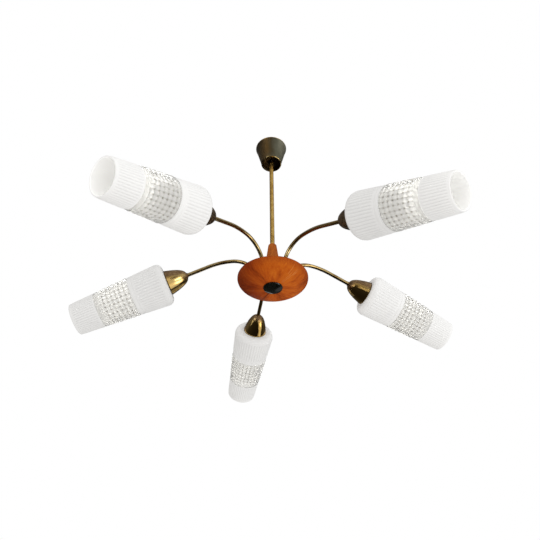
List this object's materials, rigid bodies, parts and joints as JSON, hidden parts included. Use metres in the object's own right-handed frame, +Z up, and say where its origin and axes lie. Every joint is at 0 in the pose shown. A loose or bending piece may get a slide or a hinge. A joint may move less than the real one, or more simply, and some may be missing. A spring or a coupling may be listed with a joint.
{
  "type": "multi arm chandelier",
  "caption": "Ceiling lamp with curved brass arms swivelling in a turned teak saucer, each ending in a brass cup and a ribbed opal glass shade, hung on a rod under a cone canopy.",
  "frame": {"origin": "centre of the hanger eye's bore, inside the canopy", "axes": "+Z up along the rod; +Y along the eye's bore, towards the side where the first arm enters the saucer; X completes a right-handed frame"},
  "size_m": [0.8252, 0.7599, 0.5157],
  "materials": {
    "brass_satin": "satin, lightly speckled",
    "brass_arm": "polished",
    "brass_cup": "mirror polished",
    "brass_aged": "olive-brown patina, worn edges",
    "brass_dark": "dark patina",
    "brass_contact": "plain",
    "teak_saucer": "oiled, turned",
    "teak_neck": "oiled, turned",
    "shade_glass": "opal, ribbed, with a clear studded band",
    "button_black": "black gloss",
    "nickel": "polished",
    "porcelain": "glazed",
    "zinc_steel": "zinc plated",
    "bakelite": "ivory, moulded",
    "flex": "PVC"
  },
  "bodies": {
    "frame": {"hanger_loop": "brass_satin", "down_rod": "brass_satin", "rod_flex": "flex", "ceiling_terminal_block": "porcelain", "ceiling_terminal_screws": "brass_contact", "teak_neck": "teak_neck", "saucer_lid": "teak_saucer", "saucer_bowl": "teak_saucer", "arm_plate": "zinc_steel", "arm_nuts": "zinc_steel", "rod_nuts": "zinc_steel", "hub_terminal_block": "porcelain", "hub_terminal_screws": "brass_contact", "hub_wiring": "flex", "finial_washer": "nickel"},
    "finial": {"finial_cap": "button_black"},
    "canopy": {"canopy_shell": "brass_aged", "canopy_collar": "brass_dark"},
    "canopy_grub": {"canopy_screw": "zinc_steel"},
    "arm_1": {"arm_tube_1": "brass_arm", "socket_cup_1": "brass_cup", "lampholder_body_1": "bakelite", "screw_shell_1": "brass_contact", "centre_contact_1": "brass_contact", "glass_shade_1": "shade_glass", "arm_flex_1": "flex"},
    "ring_1": {"shade_ring_1": "bakelite"},
    "arm_2": {"arm_tube_2": "brass_arm", "socket_cup_2": "brass_cup", "lampholder_body_2": "bakelite", "screw_shell_2": "brass_contact", "centre_contact_2": "brass_contact", "glass_shade_2": "shade_glass", "arm_flex_2": "flex"},
    "ring_2": {"shade_ring_2": "bakelite"},
    "arm_3": {"arm_tube_3": "brass_arm", "socket_cup_3": "brass_cup", "lampholder_body_3": "bakelite", "screw_shell_3": "brass_contact", "centre_contact_3": "brass_contact", "glass_shade_3": "shade_glass", "arm_flex_3": "flex"},
    "ring_3": {"shade_ring_3": "bakelite"},
    "arm_4": {"arm_tube_4": "brass_arm", "socket_cup_4": "brass_cup", "lampholder_body_4": "bakelite", "screw_shell_4": "brass_contact", "centre_contact_4": "brass_contact", "glass_shade_4": "shade_glass", "arm_flex_4": "flex"},
    "ring_4": {"shade_ring_4": "bakelite"},
    "arm_5": {"arm_tube_5": "brass_arm", "socket_cup_5": "brass_cup", "lampholder_body_5": "bakelite", "screw_shell_5": "brass_contact", "centre_contact_5": "brass_contact", "glass_shade_5": "shade_glass", "arm_flex_5": "flex"},
    "ring_5": {"shade_ring_5": "bakelite"}
  },
  "joints": [
    {"name": "canopy_slide", "type": "slide", "parent": "frame", "child": "canopy", "axis": [0, 0, 1], "range_m": [-0.26, 0]},
    {"name": "canopy_screw_turn", "type": "hinge", "parent": "canopy", "child": "canopy_grub", "pos_m": [0, -0.0075, -0.0345], "axis": [0, -1, 0], "range_deg": [0, 720]},
    {"name": "finial_turn", "type": "hinge", "parent": "frame", "child": "finial", "pos_m": [0, 0, -0.4275], "axis": [0, 0, -1], "range_deg": [0, 1080]},
    {"name": "arm_swivel_1", "type": "hinge", "parent": "frame", "child": "arm_1", "pos_m": [0, 0.035, -0.4], "axis": [0, 0, 1], "range_deg": [-24.05, 5.95]},
    {"name": "shade_ring_turn_1", "type": "hinge", "parent": "arm_1", "child": "ring_1", "pos_m": [-0.03139, 0.23206, -0.38898], "axis": [-0.1452, 0.9114, -0.3851], "range_deg": [0, 1080]},
    {"name": "arm_swivel_2", "type": "hinge", "parent": "frame", "child": "arm_2", "pos_m": [-0.03329, 0.01082, -0.4], "axis": [0, 0, 1], "range_deg": [-22.41, 7.59]},
    {"name": "shade_ring_turn_2", "type": "hinge", "parent": "arm_2", "child": "ring_2", "pos_m": [-0.22824, 0.04727, -0.38697], "axis": [-0.9124, 0.1706, -0.3722], "range_deg": [0, 1080]},
    {"name": "arm_swivel_3", "type": "hinge", "parent": "frame", "child": "arm_3", "pos_m": [-0.02057, -0.02832, -0.4], "axis": [0, 0, 1], "range_deg": [-8.76, 21.24]},
    {"name": "shade_ring_turn_3", "type": "hinge", "parent": "arm_3", "child": "ring_3", "pos_m": [-0.1528, -0.17394, -0.38436], "axis": [-0.6284, -0.6921, -0.3551], "range_deg": [0, 1080]},
    {"name": "arm_swivel_4", "type": "hinge", "parent": "frame", "child": "arm_4", "pos_m": [0.02057, -0.02832, -0.4], "axis": [0, 0, 1], "range_deg": [-20.31, 9.69]},
    {"name": "shade_ring_turn_4", "type": "hinge", "parent": "arm_4", "child": "ring_4", "pos_m": [0.15191, -0.17776, -0.388], "axis": [0.6109, -0.6952, -0.3788], "range_deg": [0, 1080]},
    {"name": "arm_swivel_5", "type": "hinge", "parent": "frame", "child": "arm_5", "pos_m": [0.03329, 0.01082, -0.4], "axis": [0, 0, 1], "range_deg": [-16.12, 13.88]},
    {"name": "shade_ring_turn_5", "type": "hinge", "parent": "arm_5", "child": "ring_5", "pos_m": [0.2172, 0.07457, -0.38122], "axis": [0.8905, 0.3087, -0.3341], "range_deg": [0, 1080]}
  ]
}
